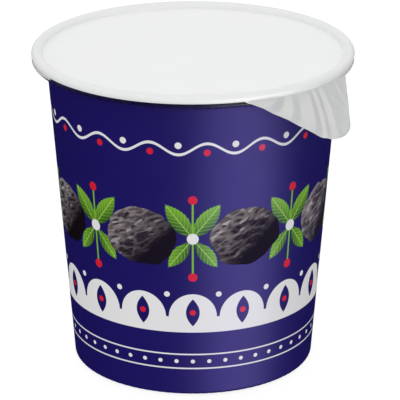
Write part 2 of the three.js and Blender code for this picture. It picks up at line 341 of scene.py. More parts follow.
def turning_tree(material):
    sizes = ["Turn", "Start", "Climb from", "Climb to", "Climb"]
    tree, bench, given = new_tree("turned profile", ["Columns", "Rows"], sizes)
    columns, rows = given["Columns"], given["Rows"]
    grid = bench.node("GeometryNodeMeshGrid", None, {"Vertices X": columns, "Vertices Y": rows})
    index = bench.node("GeometryNodeInputIndex")
    column = bench.math("FLOOR", (index + 0.5) / rows)
    row = index - column * rows
    point = bench.node(
        "GeometryNodeSampleIndex",
        {"data_type": "FLOAT_VECTOR", "domain": "POINT"},
        {"Geometry": given["Geometry"], "Value": bench.node("GeometryNodeInputPosition"), "Index": row},
    )
    radius, _, height = bench.parts(point)
    turned = column / (columns - 1) * given["Turn"]
    climb = bench.node(
        "ShaderNodeMapRange",
        {"interpolation_type": "SMOOTHSTEP"},
        {"Value": turned, "From Min": given["Climb from"], "From Max": given["Climb to"]},
    )
    radius = radius + climb * given["Climb"]
    angle = turned + given["Start"]
    x = radius * bench.math("SINE", angle)
    y = radius * bench.math("COSINE", angle) * -1
    carried = bench.vector(x, y, height)
    moved = bench.node("GeometryNodeSetPosition", None, {"Geometry": grid, "Position": carried})
    joined = bench.node("GeometryNodeMergeByDistance", None, {"Geometry": moved, "Distance": WELD_DISTANCE})
    smooth = bench.node("GeometryNodeSetShadeSmooth", None, {"Geometry": joined})
    end_tree(bench, smooth, material)
    return tree


def turn_profile(name, profile, material, columns, turn=2 * math.pi, start=0.0, climb=(0.0, 1.0, 0.0)):
    """A named piece turned from a profile of (radius, height) points, with angles in radians.

    Between the first two angles of climb the radius grows by its last value."""
    line = new_piece(name, [(radius, 0, height) for radius, height in profile])
    values = {
        "Columns": columns + 1,
        "Rows": len(profile),
        "Turn": turn,
        "Start": start,
        "Climb from": climb[0],
        "Climb to": climb[1],
        "Climb": climb[2],
    }
    piece = run_tree(line, turning_tree(material), values)
    print(name, "faces:", len(piece.data.polygons))
    return piece


print("weld distance, mm:", round(WELD_DISTANCE / MM, 3))

# %% [markdown]
# ## Faces outwards
#
# A turned grid can come out with its faces pointing in. Volume settles it: a closed mesh whose
# faces point out has a positive volume, and an open skin is checked by whether its faces point
# away from the cup's axis. Once they do, Solidify can give the skin its thickness on the inner
# side.

# %% Outward faces
def signed_volume(mesh):
    points = np.zeros(len(mesh.vertices) * 3)
    mesh.vertices.foreach_get("co", points)
    points = points.reshape(-1, 3)
    mesh.calc_loop_triangles()
    corners = np.zeros(len(mesh.loop_triangles) * 3, int)
    mesh.loop_triangles.foreach_get("vertices", corners)
    a, b, c = (points[corners.reshape(-1, 3)[:, side]] for side in range(3))
    return float(np.einsum("ij,ij->i", a, np.cross(b, c)).sum() / 6)


def face_outwards(piece):
    if signed_volume(piece.data) < 0:
        piece.data.flip_normals()
    return piece


def face_from_axis(piece):
    """Turns an open skin's faces away from the cup's axis."""
    if sum(face.normal.xy.dot(face.center.xy) for face in piece.data.polygons) < 0:
        piece.data.flip_normals()


def thicken(piece, thickness):
    solidify = piece.modifiers.new("thickness", "SOLIDIFY")
    solidify.thickness = thickness
    solidify.offset = -1
    bake_modifiers(piece)


print("helpers for faces ready")

# %% [markdown]
# ## The cup's plastic
#
# The rim's edge shows under the foil: grey where white is behind it, and darker than the film
# where the sleeve is behind it. Plastic that is tinted but clear does that. It adds no light of
# its own and takes away part of what passes, so the shader is all transmission, under a thin
# coat that gives it a little gloss. A thin moulding bends light very little on the whole, so the
# index of refraction is set low: at 1.5 each rounded edge would act as a lens and break the thin
# lip up into streaks.

# %% Cup plastic
PLASTIC_SMOKE = (0.44, 0.435, 0.43, 1)
PLASTIC_CLEAR = (0.48, 0.475, 0.47, 1)
PLASTIC_IOR = 1.08
PLASTIC_COAT = 0.18


def make_cup_plastic():
    material, bench, shader, place = new_finish("natural_plastic")
    clouds = bench.noise(place, 9 * MM, 3)
    look = {
        "Base Color": bench.mix(clouds, PLASTIC_SMOKE, PLASTIC_CLEAR),
        "Roughness": 0.02 + 0.04 * clouds,
        "Transmission Weight": 1.0,
        "IOR": PLASTIC_IOR,
        "Coat Weight": PLASTIC_COAT,
        "Coat Roughness": 0.35,
    }
    bench.feed(shader, look)
    return material


cup_plastic = make_cup_plastic()
print("nodes in the plastic:", len(cup_plastic.node_tree.nodes))

# %% [markdown]
# ## The cup
#
# One moulded piece: a foot ring that it stands on, a base raised inside the ring, a tapered wall
# under a millimetre thick, and a flange whose edge is a hollow bead. The bead ends in a thin lip
# just inside the foil's edge, and the lip is all of the rim that the foil leaves in view. The
# profile is one closed line from the axis, round the outside, and back to the axis along the
# inside.
#
# A ray that looks for a light can't bend its way through clear plastic, so the cup would shade
# everything behind it as if it were wood. Its shadow is switched off for that reason.

# %% Cup profile
LIP_TURN_DEGREES = 38.0
LIP_RADIUS = LID_RADIUS - 0.15 * MM
LIP_SHOULDER = 0.7 * MM
BEAD_WALL = 0.6 * MM


def rim_profile():
    """The flange's hollow bead, from the underside round the lip and over to the ledge."""
    tube = BEAD_RADIUS - FOIL - SEAL_GAP
    hollow = tube - BEAD_WALL
    soft = BEAD_WALL / 2
    return [
        (BEAD_MIDDLE[0] - hollow, FLANGE_UNDERSIDE),
        *arc(BEAD_MIDDLE, hollow, 180, 0, 12),
        *arc((LIP_RADIUS - soft, LIP_BOTTOM + soft), soft, 180, 360, 8),
        (LIP_RADIUS, LIP_BOTTOM + soft + LIP_SHOULDER),
        *arc(BEAD_MIDDLE, tube, -LIP_TURN_DEGREES, 180, 22),
    ]


def cup_profile():
    bend = CORNER - FILM - LAID_GAP
    foot_inner = FOOT_OUTER - FOOT_WIDTH
    floor_top = BASE_RISE + WALL
    rim = rim_profile()
    ledge = CUP_HEIGHT - MEMBRANE_DROP - FOIL - SEAL_GAP
    fillet = 0.3 * MM
    soft = 0.25 * MM
    neck = wall_radius(FLANGE_UNDERSIDE)
    inner = wall_radius(ledge) - WALL
    return [
        (0, BASE_RISE),
        (foot_inner * 0.5, BASE_RISE),
        (foot_inner - 0.9 * MM, BASE_RISE),
        (foot_inner - 0.4 * MM, BASE_RISE - 0.3 * MM),
        *arc((foot_inner + soft, soft), soft, 190, 270, 4),
        *arc((FOOT_OUTER - soft, soft), soft, -90, 0, 4),
        (FOOT_OUTER + 0.2 * MM, CORNER_MIDDLE[1] - bend),
        *arc(CORNER_MIDDLE, bend, -90, 0, 8),
        *arc((neck + fillet, FLANGE_UNDERSIDE - fillet), fillet, 180, 90, 6),
        *rim,
        (rim[-1][0], ledge),
        (inner + 0.3 * MM, ledge),
        (inner - 0.05 * MM, ledge - 0.4 * MM),
        (wall_radius(floor_top + 2.5 * MM) - WALL, floor_top + 2.5 * MM),
        (wall_radius(floor_top) - WALL - 0.8 * MM, floor_top + 0.6 * MM),
        (FOOT_OUTER - 0.3 * MM, floor_top - 0.5 * MM),
        (FOOT_OUTER - WALL, WALL),
        (foot_inner + WALL, WALL),
        (foot_inner - 0.6 * MM, floor_top),
        (0, floor_top),
    ]


cup = face_outwards(turn_profile("moulded_cup", cup_profile(), cup_plastic, columns=180))
cup.visible_shadow = False
print("plastic in the cup, ml:", round(signed_volume(cup.data) * 1e6, 1))

# %% [markdown]
# ## The print
#
# The sleeve carries a plain, traditional border ornament, drawn by formulas in millimetres. Each
# point of the sleeve gets two numbers: its height, and how far round the cup it is within one
# repeat. A shape is then a distance: negative inside the shape and positive outside. Ink is laid
# where the distance is below zero, with an edge about a tenth of a millimetre soft. Eight repeats
# close exactly round the cup. A wire knows its bench, so these helpers aren't given one.

# %% Shapes as distances
REPEATS = 8
INK_EDGE = 0.12

# A spot on the sleeve: its place in metres, its angle round the cup, and its distance from the
# axis and its height in millimetres
Spot = namedtuple("Spot", "place angle radius height")


def root(value):
    return value.bench.math("SQRT", value)


def floor(value):
    return value.bench.math("FLOOR", value)


def both(first, second):
    return first.bench.math("MAXIMUM", first, second)


def either(first, second):
    return first.bench.math("MINIMUM", first, second)


def oval(across, up, half_wide, half_high):
    x = across / half_wide
    y = up / half_high
    return (root(x * x + y * y) - 1) * min(half_wide, half_high)


def disc(across, up, radius):
    return oval(across, up, radius, radius)


def leaf(along, across, half_long, half_wide):
    """A pointed leaf from two arcs, lying along its first axis."""
    share = along / half_long
    return abs(across) - half_wide * (1 - share * share)


def turned_axes(across, up, degrees):
    """The same point, seen by a shape that is turned by that angle."""
    cosine, sine = math.cos(math.radians(degrees)), math.sin(math.radians(degrees))
    return across * cosine + up * sine, up * cosine - across * sine


def from_repeat(spot, count, offset=0.0):
    """Millimetres from the middle of the nearest repeat, measured round the cup."""
    share = spot.angle * (count / (2 * math.pi)) + (offset + 0.5)
    part = share - floor(share)
    return (part - 0.5) * spot.radius * (2 * math.pi / count)


def inked(distance):
    """1 inside a shape and 0 outside, with a soft edge."""
    return distance.bench.clamped(0.5 - distance / INK_EDGE)


def lay_ink(colour, distance, ink):
    return distance.bench.mix(inked(distance), colour, ink)


print("repeats of the print:", REPEATS)

# %% [markdown]
# ## Plums in the garland
#
# A garland of wrinkled dark plums runs round the middle of the cup. The wrinkles lie where a
# noise passes its middle value, which draws thin lines that meet and part. The noise is drawn out
# along the plum, the way that dried skin folds. The wrinkles fade towards the lower right, as if
# the plums were lit from the upper left, and small glints lie along them.

# %% Plums
GARLAND_HEIGHT = 51.0
PLUM_HALF_WIDE = 10.8
PLUM_HALF_HIGH = 9.0
DENT_SIZE = 7 * MM
DENT_DEPTH = 3.0
WRINKLE_TILT_DEGREES = 24.0
WRINKLE_PACE = 0.42
GLINT_SIZE = 1.7
PALE_RIM = 1.6
PLUM_DARK = (0.0045, 0.0015, 0.002, 1)
PLUM_LIGHT = (0.29, 0.25, 0.25, 1)
PLUM_GLINT = (0.48, 0.45, 0.45, 1)


def plum_outline(bench, spot):
    """Where a spot lies on the nearest plum, and its distance from the plum's outline."""
    across = from_repeat(spot, REPEATS, offset=0.5)
    up = spot.height - GARLAND_HEIGHT
    dents = bench.noise(spot.place, DENT_SIZE, 1) - 0.5
    return across, up, oval(across, up, PLUM_HALF_WIDE, PLUM_HALF_HIGH) + dents * DENT_DEPTH


def thin_lines(bench, vector, size, sharpness):
    """1 where a noise passes its middle value, and 0 away from there."""
    return 1 - bench.clamped(abs(bench.noise(vector, size, 2) - 0.5) * sharpness)


def lay_plums(bench, colour, spot):
    across, up, body = plum_outline(bench, spot)
    skin = inked(body)
    colour = bench.mix(skin, colour, PLUM_DARK)
    lit = bench.clamped(0.36 + (up - across) * 0.05)
    along, off = turned_axes(spot.angle * spot.radius, spot.height, WRINKLE_TILT_DEGREES)
    grain = bench.vector(along * WRINKLE_PACE, off, 0.0)
    folds = thin_lines(bench, grain, size=3.0, sharpness=11)
    creases = thin_lines(bench, grain, size=1.4, sharpness=8)
    colour = bench.mix(skin * lit * (0.05 + creases * 0.22), colour, PLUM_LIGHT)
    colour = bench.mix(skin * lit * folds * 0.8, colour, PLUM_LIGHT)
    glints = bench.clamped((bench.noise(grain, GLINT_SIZE, 1) - 0.6) * 12)
    colour = bench.mix(skin * lit * glints * 0.8, colour, PLUM_GLINT)
    rim = bench.clamped(1 + body / PALE_RIM) * bench.clamped(body * -4) * lit
    return bench.mix(rim * 0.4, colour, PLUM_LIGHT)


print("plums, mm across:", 2 * PLUM_HALF_WIDE)

# %% [markdown]
# ## Sprigs between the plums
#
# Each sprig has a stem with a berry at both ends, a white disc in the centre and four leaves. The
# leaves' side ribs are a saw-tooth along the blade, and the same saw-tooth nicks their edges. A
# sprig is alike on both sides, so only its right half is drawn, and the distance from the stem
# mirrors it.

# %% Sprigs
INK_WHITE = (0.70, 0.70, 0.70, 1)
INK_RED = (0.60, 0.004, 0.012, 1)
LEAF_DARK = (0.022, 0.10, 0.002, 1)
LEAF_LIGHT = (0.17, 0.41, 0.006, 1)
LEAF_VEIN = (0.34, 0.56, 0.08, 1)
LEAF_ACROSS = 3.9
RIB_SPACING = 1.5
RIB_SLANT = 1.1
MIDRIB_HALF = 0.12
STEM_HALF = 0.28
STEM_REACH = 11.0
BERRY_HEIGHT = 12.2
BERRY_RADIUS = 1.35
CENTRE_RADIUS = 1.7

# The leaves on one side of a stem: height of the middle over the garland's line, tilt in degrees,
# half length and half width
LEAVES = [(5.4, 52, 6.6, 2.7), (-5.0, -52, 5.2, 2.2)]


def lay_leaf(bench, colour, along, off, half_long, half_wide):
    blade = leaf(along, off, half_long, half_wide)
    ribs = (along - abs(off) * RIB_SLANT) / RIB_SPACING
    from_rib = abs(ribs - floor(ribs) - 0.5)
    toothed = blade + from_rib * 0.5 - 0.12
    paleness = bench.clamped(0.42 + along * 0.06 + off * 0.16)
    colour = lay_ink(colour, toothed, bench.mix(paleness, LEAF_DARK, LEAF_LIGHT))
    side_ribs = both((from_rib - 0.07) * RIB_SPACING, blade + 0.25)
    colour = bench.mix(inked(side_ribs) * 0.55, colour, LEAF_VEIN)
    midrib = both(abs(off) - MIDRIB_HALF, blade + 0.5)
    return lay_ink(colour, midrib, LEAF_VEIN)


def lay_sprigs(bench, colour, spot):
    across = from_repeat(spot, REPEATS)
    up = spot.height - GARLAND_HEIGHT
    for middle, tilt, half_long, half_wide in LEAVES:
        along, off = turned_axes(abs(across) - LEAF_ACROSS, up - middle, tilt)
        colour = lay_leaf(bench, colour, along, off, half_long, half_wide)
    stem = both(abs(across) - STEM_HALF, abs(up) - STEM_REACH)
    colour = lay_ink(colour, stem, LEAF_LIGHT)
    berry = disc(across, abs(up) - BERRY_HEIGHT, BERRY_RADIUS)
    colour = lay_ink(colour, berry, INK_RED)
    return lay_ink(colour, disc(across, up, CENTRE_RADIUS), INK_WHITE)


print("leaves round the cup:", 2 * len(LEAVES) * REPEATS)

# %% [markdown]
# ## Borders above and below
#
# Above the garland runs a fine white wave with red and white beads. Below the garland comes a
# bold white scalloped border with a pointed drop in each scallop, and below that a row of dots
# between two fine lines. The wave is a sine of the angle, and the rest is made of ovals, leaves
# and bands.

# %% Borders
NAVY = (0.0062, 0.0024, 0.106, 1)
SCALLOP_BASE = 21.0
SCALLOP_BAND = 5.0
ARCH_HALF_WIDE = 7.0
ARCH_HALF_HIGH = 7.4
DROP_HEIGHT = 6.4
DROP_HALF_LONG = 4.4
DROP_HALF_WIDE = 2.0
DROP_BEAD_RADIUS = 0.9
PIP_HEIGHT = 12.2
PIP_RADIUS = 0.85
WAVE_HEIGHT = 79.0
WAVE_SWING = 1.7
WAVE_HALF = 0.42
WAVE_BEAD_OFFSET = 1.1
WAVE_BEAD_RADIUS = 1.0
DOT_LINE_HEIGHT = 11.5
DOT_RADIUS = 0.62
RAIL_OFFSET = 2.3
RAIL_HALF = 0.22


def lay_scallops(bench, colour, spot):
    across = from_repeat(spot, 2 * REPEATS)
    up = spot.height - SCALLOP_BASE
    band = both(up * -1, up - SCALLOP_BAND)
    crown = oval(across, up - SCALLOP_BAND, ARCH_HALF_WIDE, ARCH_HALF_HIGH)
    arch = both(crown, SCALLOP_BAND - 1 - up)
    colour = lay_ink(colour, either(band, arch), INK_WHITE)
    drop = leaf(up - DROP_HEIGHT, across, DROP_HALF_LONG, DROP_HALF_WIDE)
    colour = lay_ink(colour, drop, NAVY)
    bead = disc(across, up - DROP_HEIGHT, DROP_BEAD_RADIUS)
    colour = lay_ink(colour, bead, INK_RED)
    gap = from_repeat(spot, 2 * REPEATS, offset=0.5)
    return lay_ink(colour, disc(gap, up - PIP_HEIGHT, PIP_RADIUS), INK_WHITE)


def lay_fine_lines(bench, colour, spot):
    wave = bench.math("SINE", spot.angle * (2 * REPEATS)) * WAVE_SWING
    up = spot.height - WAVE_HEIGHT
    colour = lay_ink(colour, abs(up - wave) - WAVE_HALF, INK_WHITE)
    for side, ink in ((-1, INK_RED), (1, INK_WHITE)):
        across = from_repeat(spot, 2 * REPEATS, offset=side * 0.25)
        bead = disc(across, up - side * WAVE_BEAD_OFFSET, WAVE_BEAD_RADIUS)
        colour = lay_ink(colour, bead, ink)
    low = spot.height - DOT_LINE_HEIGHT
    colour = lay_ink(colour, abs(abs(low) - RAIL_OFFSET) - RAIL_HALF, INK_WHITE)
    across = from_repeat(spot, 6 * REPEATS)
    return lay_ink(colour, disc(across, low, DOT_RADIUS), INK_WHITE)


print("scallops:", 2 * REPEATS, "and dots:", 6 * REPEATS)

# %% [markdown]
# ## The sleeve's finish
#
# Deep navy film with a soft sheen. Printed film is never quite even, so its colour and its gloss
# both drift a little. Its gloss is tinted violet, because the clear navy ink lies over the film's
# bright surface. The plums are printed in a matt ink, so that the film's own highlight hardly
# veils them.

# %% Printed film
NAVY_FADED = (0.0072, 0.0034, 0.116, 1)
SHEEN_TINT = (0.49, 0.42, 1.0, 1)
MATT_INK = 0.5


def make_printed_film():
    material, bench, shader, place = new_finish("printed_film")
    x, y, z = bench.parts(place)
    angle = bench.math("ARCTAN2", x, y * -1)
    radius = root(x * x + y * y) / MM
    spot = Spot(place, angle, radius, z / MM)
    drift = bench.noise(place, 16 * MM, 3)
    colour = bench.mix(drift, NAVY, NAVY_FADED)
    for lay_motif in (lay_fine_lines, lay_sprigs, lay_plums, lay_scallops):
        colour = lay_motif(bench, colour, spot)
    *_, plum = plum_outline(bench, spot)
    smears = bench.noise(place, 5 * MM, 4)
    orange_peel = bench.noise(place, 1.6 * MM, 2)
    look = {
        "Base Color": colour,
        "Roughness": 0.40 + 0.10 * smears + MATT_INK * inked(plum),
        "Specular IOR Level": 0.35,
        "Specular Tint": SHEEN_TINT,
        "IOR": 1.45,
        "Normal": bench.bump(orange_peel, 0.006 * MM),
    }
    bench.feed(shader, look)
    return material


printed_film = make_printed_film()
print("nodes in the print:", len(printed_film.node_tree.nodes))

# %% [markdown]
# ## The sleeve
#
# The film is a single skin, turned a little more than once so that its ends overlap in a lapped
# seam at the back, then given its thickness by Solidify. At the bottom it turns under the base,
# where shrinking leaves small pleats. A second tree raises those: a wave round the cup that fades
# out up the wall.

# %% Pleats tree
def pleat_tree(material):
    tree, bench, given = new_tree("shrink pleats", ["Count"], ["Height", "Fade"])
    x, y, z = bench.parts(bench.node("GeometryNodeInputPosition"))
    angle = bench.math("ARCTAN2", x, y * -1)
    uneven = bench.math("SINE", angle * 7 + 1.3) * 1.4 + bench.math("SINE", angle * 17 + 0.4) * 0.7
    wave = bench.math("SINE", angle * given["Count"] + uneven)
    sharp = bench.math("POWER", wave * 0.5 + 0.5, 3.0)
    fade = bench.clamped(1 - z / given["Fade"])
    pressed = press_in(bench, given["Geometry"], sharp * fade * fade * given["Height"])
    end_tree(bench, pressed, material)
    return tree


pleats = pleat_tree(printed_film)
print("nodes in the pleat tree:", len(pleats.nodes))

# %% [markdown]
# ## Wrapping the sleeve
#
# The turn starts at the back. Over the last 16 degrees of the full circle the radius climbs by a
# little more than the film's thickness, and the film then runs 5 degrees further, on top of its
# own beginning. That is the lapped seam. The thickness comes last: a lap made from a solid wall
# would cut into itself, and a single skin doesn't.

# %% Sleeve
LAP = math.radians(5)
LAP_RAMP = math.radians(16)
LAP_CLIMB = FILM + 0.12 * MM
SLEEVE_ROWS = 40


def sleeve_profile():
    """From the edge that is tucked under the base, round the corner and up the wall."""
    low = CORNER_MIDDLE[1]
    heights = [low + (SLEEVE_TOP - low) * row / SLEEVE_ROWS for row in range(1, SLEEVE_ROWS + 1)]
    wall = [(sleeve_radius(height), height) for height in heights]
    return [(FOOT_OUTER + 0.9 * MM, SLEEVE_LIFT), *arc(CORNER_MIDDLE, CORNER, -90, 0, 14), *wall]


sleeve = turn_profile(
    "printed_sleeve",
    sleeve_profile(),
    printed_film,
    columns=540,
    turn=2 * math.pi + LAP,
    start=math.pi,
    climb=(2 * math.pi - LAP_RAMP, 2 * math.pi, LAP_CLIMB),
)
run_tree(sleeve, pleats, {"Count": 96, "Height": 0.07 * MM, "Fade": 2.2 * MM})
face_from_axis(sleeve)
thicken(sleeve, FILM)
print("film in the sleeve, ml:", round(signed_volume(sleeve.data) * 1e6, 2))

# %% [markdown]
# ## The foil's finish
#
# White lacquer over thin metal: bright and satin, never as flat as paper. Two numbers that are
# stored on the mesh steer it. The first says how much greyer the foil is: not at all on the
# membrane, rising across the bead's inner side to a little on the rest of the ring, and fully on
# the creased tab. The second is painted light and shade on the creased tab, from which way each
# plate is tipped: plates that face to the left are painted paler, the others darker and cooler.
# Very fine dents catch the light.

# %% Foil finish
LACQUER_COOL = (0.80, 0.81, 0.81, 1)
LACQUER_WARM = (0.82, 0.82, 0.82, 1)
# The tab's satin white as a shaded and a lit copy: painted shade and light by tilt, mixed with random
# streaks.
SATIN_SHADE_AND_STREAK = (0.505, 0.52, 0.532, 1)
SATIN_LIGHT_AND_STREAK = (0.61, 0.61, 0.602, 1)


def make_foil_finish():
    material, bench, shader, place = new_finish("white_foil")
    clouds = bench.noise(place, 22 * MM, 3)
    streaks = bench.noise(place, 4 * MM, 2)
    patches = bench.noise(place, 6 * MM, 3)
    dents = bench.noise(place, 3.5 * MM, 3)
    lacquer = bench.mix(clouds, LACQUER_COOL, LACQUER_WARM)
    # Painted light and shade on the tab's plates, from their stored tilt, with random streaks over it.
    satin = bench.mix(bench.stored("tilt_shade") + (streaks - 0.5) * 0.8, SATIN_SHADE_AND_STREAK, SATIN_LIGHT_AND_STREAK)
    look = {
        # Greyer on the ring and on the folded tab, by the stored share of grey.
        "Base Color": bench.mix(bench.stored("grey_share"), lacquer, satin),
        "Roughness": 0.34 + 0.16 * patches,
        "Normal": bench.bump(dents, 0.02 * MM),
    }
    bench.feed(shader, look)
    return material


foil_finish = make_foil_finish()
print("nodes in the foil's finish:", len(foil_finish.node_tree.nodes))

# %% [markdown]
# ## The foil lid
#
# One die-cut sheet does three jobs: it is the flat membrane, it wraps the rim's raised bead, and
# its one corner is the pull tab, folded down at the front right. Foil can't stretch, so where it
# is folded over a round rim it gathers in creases that run from the rim towards the tab's tip.
#
# Cloth simulation could crumple it, but the tab's outline is a measured thing, so it is built
# row by row instead: for every direction from the lid's middle, a line that runs out across the
# membrane, over the bead, down, and along the folded tab to the edge of the blank.

# %% The blank and its folds
TAB_AZIMUTH = math.radians(42.8)
TAB_APEX = 71.8 * MM
TAB_HALF_ANGLE = math.radians(35)
TAB_TIP_RADIUS = 9.2 * MM
TAB_FOLD = math.radians(38.5)
FULL_FOLD = 1.0 * MM
SKIRT = 0.1 * MM

# The tab's folds: azimuth from its middle where they leave the rim and where they reach the
# tab's edge, in degrees, and height in millimetres
FOLDS = [
    (-25.5, -26, 0),
    (-19, -22, 0.25),
    (-12.6, -19.5, 0.65),
    (-9.6, -16.8, -0.45),
    (-7.2, -12.5, 0.35),
    (-4.4, -10.5, -0.2),
    (0.2, -7, 0.4),
    (2.2, -5.2, -0.3),
    (3.3, -4.2, 0.6),
    (5.4, -2.8, -0.15),
    (7.2, -0.6, 0.65),
    (9.4, 1.6, 0.35),
    (15.2, 10, -0.15),
    (16.2, 11.5, 0.0),
    (19.6, 16.4, -0.2),
    (25.5, 26, -0.5),
]
EDGE_STRENGTH = 0.3
FOLD_SHIFTS = (-0.12, -0.04, 0.04, 0.12)


def smoothstep(value, low, high):
    share = np.clip((value - low) / (high - low), 0, 1)
    return share * share * (3 - 2 * share)


def blank_reach(angle):
    """How far the flat blank reaches from its middle, at an angle from the tab's middle line."""
    turn = np.abs(angle)
    tip_middle = TAB_APEX - TAB_TIP_RADIUS / math.sin(TAB_HALF_ANGLE)
    touch = math.atan2(
        TAB_TIP_RADIUS * math.cos(TAB_HALF_ANGLE),
        tip_middle + TAB_TIP_RADIUS * math.sin(TAB_HALF_ANGLE),
    )
    side = TAB_APEX * math.sin(TAB_HALF_ANGLE) / np.sin(np.minimum(TAB_HALF_ANGLE + turn, math.pi / 2))
    across = tip_middle * np.sin(turn)
    tip = tip_middle * np.cos(turn) + np.sqrt(np.maximum(TAB_TIP_RADIUS**2 - across**2, 0))
    return np.where(turn < touch, tip, side)


def fold_lift(degrees, share):
    """Flat plates between folds that slant across the tab, softened by a mean of shifted copies."""
    at_rim, at_edge, heights = np.array(FOLDS).T
    knots = at_rim + (at_edge - at_rim) * share
    lift = np.zeros_like(degrees)
    for shift in FOLD_SHIFTS:
        lift += np.interp(degrees + shift, knots, heights) / len(FOLD_SHIFTS)
    strength = math.sin(min(share * 3, 1) * math.pi / 2) * (1 + (EDGE_STRENGTH - 1) * share**2)
    return lift * strength * MM


def crumple(x, y, seed, size, height):
    """Small facets: folded plates laid over each other in random directions."""
    plates = 7
    random = np.random.default_rng(seed)
    total = np.zeros_like(x)
    for _ in range(plates):
        bearing = random.uniform(0, math.pi)
        width = size * random.uniform(0.7, 1.5)
        phase = random.uniform(0, 1)
        travel = (x * math.cos(bearing) + y * math.sin(bearing)) / width + phase
        total += np.abs(2 * (travel - np.floor(travel + 0.5))) - 0.5
    return total / plates * height * 2


def soft_waves(x, y, seed, size, height):
    """A sheet that isn't quite flat: sine waves added up in random directions."""
    waves = 9
    random = np.random.default_rng(seed)
    total = np.zeros_like(x)
    for _ in range(waves):
        bearing = random.uniform(0, 2 * math.pi)
        pace = 2 * math.pi / (size * random.uniform(0.7, 1.8))
        phase = random.uniform(0, 6.28)
        total += np.sin((x * math.cos(bearing) + y * math.sin(bearing)) * pace + phase)
    return total / math.sqrt(waves) * height


print("reach of the blank at the tab, mm:", round(float(blank_reach(0.0)) / MM, 1))

# %% [markdown]
# ## Row after row of foil
#
# The first rows cross the membrane, the next go over the bead, and the last run down the folded
# tab. The columns are crowded towards the tab, where the creases are. Away from the tab the last
# rows end at once in a narrow skirt, because the blank is hardly larger than the rim there. The
# rows make a skin without thickness, which gets one at the end.
#
# Each point also stores how much greyer it is and its painted tilt shade, for the foil's finish.

# %% Foil rows
COLUMNS = 480
TAB_CROWDING = 0.8
MEMBRANE_ROWS = 26
BEAD_ROWS = 17
HANG_ROWS = 34
# How much greyer the ring is than the membrane; the folded tab goes from there to fully grey.
RING_GREY_SHARE = 0.22
TILT_SHADE_REACH = 5.0


def ring_section():
    """The foil from the membrane over the bead to its lower edge, as (radius, height) points."""
    inside = BEAD_MIDDLE[0] - BEAD_RADIUS
    membrane = CUP_HEIGHT - MEMBRANE_DROP
    bend = 0.3 * MM
    foot_bend = arc((inside - bend, membrane + bend), bend, -90, 0, 5)
    return [*foot_bend, *arc(BEAD_MIDDLE, BEAD_RADIUS, 180, -WRAP_DEGREES, BEAD_ROWS)]


def foil_rows():
    """Every row of the foil as an array over its columns: x, y, z, grey share and painted tilt shade."""
    even = np.linspace(-math.pi, math.pi, COLUMNS, endpoint=False)
    angle = even - TAB_CROWDING * np.sin(even)
    azimuth = TAB_AZIMUTH + angle
    east, south = np.sin(azimuth), -np.cos(azimuth)
    section = ring_section()
    rows = []

    def add_row(radius, height, grey_share=0.0, tilt_shade=0.5):
        level = np.zeros_like(east)
        values = [radius * east, radius * south, height + level, grey_share + level, tilt_shade + level]
        rows.append(np.stack(values, 1))

    for row in range(1, MEMBRANE_ROWS + 1):
        radius = section[0][0] * row / (MEMBRANE_ROWS + 1)
        x, y = radius * east, radius * south
        fade = 1 - smoothstep(radius, section[0][0] * 0.75, section[0][0])
        broad = soft_waves(x, y, seed=3, size=26 * MM, height=0.05 * MM)
        small = soft_waves(x, y, seed=8, size=9 * MM, height=0.012 * MM)
        add_row(radius, section[0][1] + (broad + small) * fade)
    for radius, height in section:
        outwards = (radius - BEAD_MIDDLE[0]) / BEAD_RADIUS + 1
        add_row(radius, height, RING_GREY_SHARE * np.clip(outwards * 1.5, 0, 1))

    hang = np.maximum(SKIRT, blank_reach(angle) - LID_RADIUS)
    spread = smoothstep(hang, SKIRT, SKIRT + FULL_FOLD)
    wrapped = math.radians(-WRAP_DEGREES)
    facing = wrapped + (math.pi / 2 - TAB_FOLD - wrapped) * spread
    for row in range(1, HANG_ROWS + 1):
        share = row / HANG_ROWS
        flat = LID_RADIUS + hang * share
        fine = crumple(flat * east, flat * south, seed=5, size=6 * MM, height=0.13 * MM)
        fine = fine * smoothstep(share, 0.0, 0.2)
        lift = (fold_lift(np.degrees(angle), share) + fine) * spread
        radius = section[-1][0] + np.sin(facing) * hang * share + np.cos(facing) * lift
        height = section[-1][1] - np.cos(facing) * hang * share + np.sin(facing) * lift
        # Painted light and shade: a plate whose lift rises with the angle is painted paler, one whose lift
        # falls is painted darker.
        slope = np.gradient(lift, flat * angle)
        tilt_shade = 0.5 + 0.5 * np.tanh(slope * TILT_SHADE_REACH)
        add_row(radius, height, RING_GREY_SHARE + (1 - RING_GREY_SHARE) * spread, tilt_shade)
    return rows


def make_foil():
    rows = foil_rows()
    points = [(0.0, 0.0, rows[0][:, 2].mean())]
    for row in rows:
        points.extend(map(tuple, row[:, :3]))
    faces = []
    for column in range(COLUMNS):
        after = (column + 1) % COLUMNS
        faces.append((0, 1 + column, 1 + after))
        for row in range(len(rows) - 1):
            near, far = 1 + row * COLUMNS, 1 + (row + 1) * COLUMNS
            faces.append((near + column, far + column, far + after, near + after))
    foil = new_piece("foil_lid", points, faces)
    for name, field, middle in (("grey_share", 3, 0.0), ("tilt_shade", 4, 0.5)):
        attribute = foil.data.attributes.new(name, "FLOAT", "POINT")
        attribute.data.foreach_set("value", [middle, *np.concatenate([row[:, field] for row in rows])])
    foil.data.materials.append(foil_finish)
    foil.data.shade_smooth()
    foil.data.set_sharp_from_angle(angle=math.radians(50))
    return foil


foil = make_foil()
if foil.data.polygons[0].normal.z < 0:
    foil.data.flip_normals()
thicken(foil, FOIL)
print("foil faces:", len(foil.data.polygons))

# %% [markdown]
# ## Prune skin
#
# A dried plum is near black with a brown warmth, glossy on the ridges and dull with bloom in the
# furrows. The modelling tree below stores how deep each point lies in a furrow, and the shader
# reads that number, so that the bloom gathers exactly where the form dips.

# %% Prune finish
SKIN_BLACK = (0.010, 0.0055, 0.0045, 1)
SKIN_BROWN = (0.026, 0.013, 0.010, 1)
BLOOM_THIN = (0.055, 0.048, 0.052, 1)
BLOOM_THICK = (0.085, 0.075, 0.080, 1)


